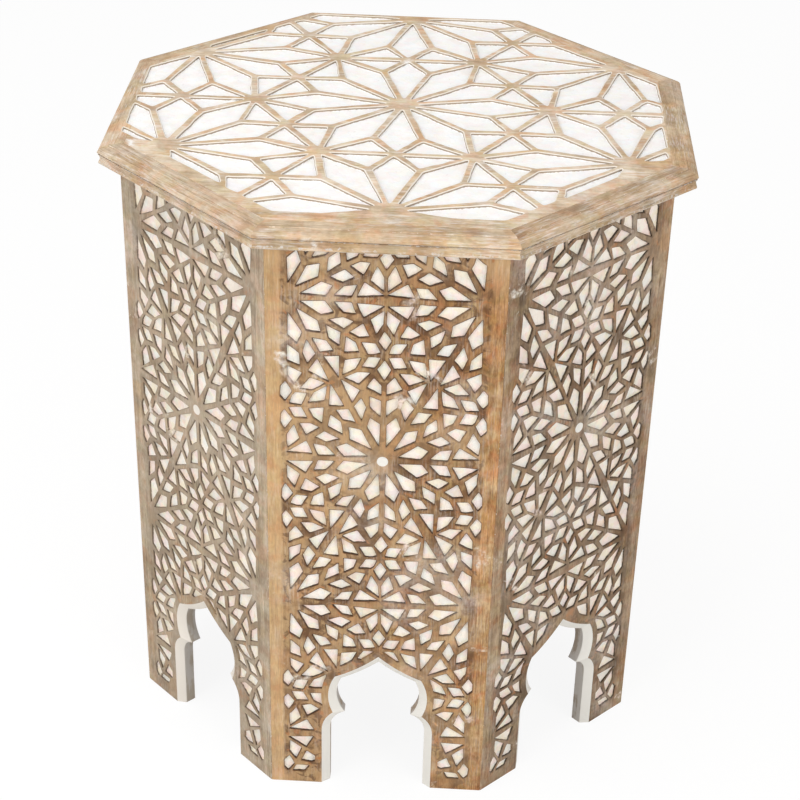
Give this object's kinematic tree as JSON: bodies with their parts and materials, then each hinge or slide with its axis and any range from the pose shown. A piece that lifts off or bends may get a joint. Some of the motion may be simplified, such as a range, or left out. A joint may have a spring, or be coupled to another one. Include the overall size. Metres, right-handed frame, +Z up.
{
  "type": "octagonal side table",
  "caption": "Octagonal side table with pierced foot arches, lattice-carved wooden panels and a carved top with a moulded rim.",
  "frame": {"origin": "on the floor under the middle of the table", "axes": "+Z up, the front panel faces -Y, +X to the right as seen from the front"},
  "size_m": [0.445, 0.445, 0.508],
  "materials": {
    "top_wood": "worn wood with whitewashed sunk cells",
    "rim_wood": "worn wood with traces of whitewash",
    "panel_wood": "worn wood with whitewashed sunk cells and white bevels",
    "inner_wood": "sawn, unfinished"
  },
  "bodies": {
    "root": {"top_board": "top_wood", "side_panel_front": "panel_wood", "side_panel_front_right": "panel_wood", "side_panel_right": "panel_wood", "side_panel_back_right": "panel_wood", "side_panel_back": "panel_wood", "side_panel_back_left": "panel_wood", "side_panel_left": "panel_wood", "side_panel_front_left": "panel_wood", "rim_moulding_front": "rim_wood", "rim_moulding_front_right": "rim_wood", "rim_moulding_right": "rim_wood", "rim_moulding_back_right": "rim_wood", "rim_moulding_back": "rim_wood", "rim_moulding_back_left": "rim_wood", "rim_moulding_left": "rim_wood", "rim_moulding_front_left": "rim_wood", "corner_block_front": "inner_wood", "corner_block_front_right": "inner_wood", "corner_block_right": "inner_wood", "corner_block_back_right": "inner_wood", "corner_block_back": "inner_wood", "corner_block_back_left": "inner_wood", "corner_block_left": "inner_wood", "corner_block_front_left": "inner_wood", "top_cleat_front": "inner_wood", "top_cleat_front_right": "inner_wood", "top_cleat_right": "inner_wood", "top_cleat_back_right": "inner_wood", "top_cleat_back": "inner_wood", "top_cleat_back_left": "inner_wood", "top_cleat_left": "inner_wood", "top_cleat_front_left": "inner_wood"}
  },
  "joints": []
}
